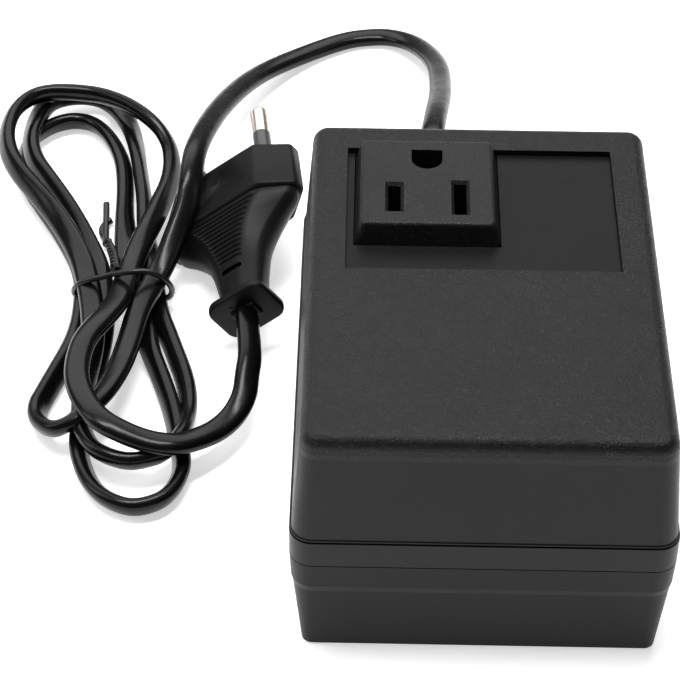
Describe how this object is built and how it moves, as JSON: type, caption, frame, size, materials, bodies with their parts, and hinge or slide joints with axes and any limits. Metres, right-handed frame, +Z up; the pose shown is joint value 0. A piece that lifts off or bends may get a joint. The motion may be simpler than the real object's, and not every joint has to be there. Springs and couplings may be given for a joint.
{
  "type": "travel voltage converter",
  "caption": "Table-top transformer case with a raised three-hole outlet, a flat mains lead tied in a hank, and a two-pin plug.",
  "frame": {"origin": "centre of the case's flat bottom face, where it stands", "axes": "+Z up, +Y to the back where the lead leaves, +X to the right seen from the front"},
  "size_m": [0.1435, 0.2014, 0.0558],
  "materials": {
    "case_plastic": "satin moulded ABS",
    "cover_plastic": "fine spark texture on top, satin walls",
    "plate_plastic": "smooth satin",
    "outlet_plastic": "fine spark texture",
    "retainer_plastic": "plain moulded",
    "contact_brass": "bright",
    "screw_steel": "zinc plated",
    "core_steel": "varnished laminations",
    "bobbin_nylon": "natural nylon",
    "winding_copper": "enamelled copper wire, drawn as one solid",
    "tape_film": "polyester tape",
    "lug_tin": "tinned",
    "fuse_metal": "bright can",
    "wire_dark": "PVC insulation",
    "wire_light": "PVC insulation",
    "bush_rubber": "matte",
    "cord_pvc": "glossy PVC",
    "clamp_plastic": "plain moulded",
    "tie_pvc": "PVC over wire",
    "plug_pvc": "satin moulded PVC",
    "bridge_plastic": "plain moulded",
    "pin_nickel": "nickel plated",
    "sleeve_plastic": "satin"
  },
  "bodies": {
    "root": {"base_shell": "case_plastic", "top_cover": "cover_plastic", "nameplate": "plate_plastic", "outlet_housing": "outlet_plastic", "outlet_retainer": "retainer_plastic", "contact_left": "contact_brass", "contact_right": "contact_brass", "contact_earth": "contact_brass", "outlet_screws": "screw_steel", "case_screws": "screw_steel", "clamp_screws": "screw_steel", "core_screws": "screw_steel", "core_e": "core_steel", "core_i": "core_steel", "bobbin": "bobbin_nylon", "winding_inner": "winding_copper", "winding_outer": "winding_copper", "coil_tape": "tape_film", "solder_lugs": "lug_tin", "thermal_fuse": "fuse_metal", "wire_in_line": "wire_dark", "wire_in_neutral": "wire_light", "wire_fuse": "wire_dark", "wire_out_left": "wire_light", "wire_out_right": "wire_dark", "cord_bush": "bush_rubber", "cord_inner": "cord_pvc", "cord_clamp": "clamp_plastic", "cord_lead": "cord_pvc", "cord_hank": "cord_pvc", "cord_tail": "cord_pvc", "twist_tie": "tie_pvc", "plug_body": "plug_pvc", "plug_bridge": "bridge_plastic", "plug_pins": "pin_nickel", "plug_sleeves": "sleeve_plastic"}
  },
  "joints": []
}
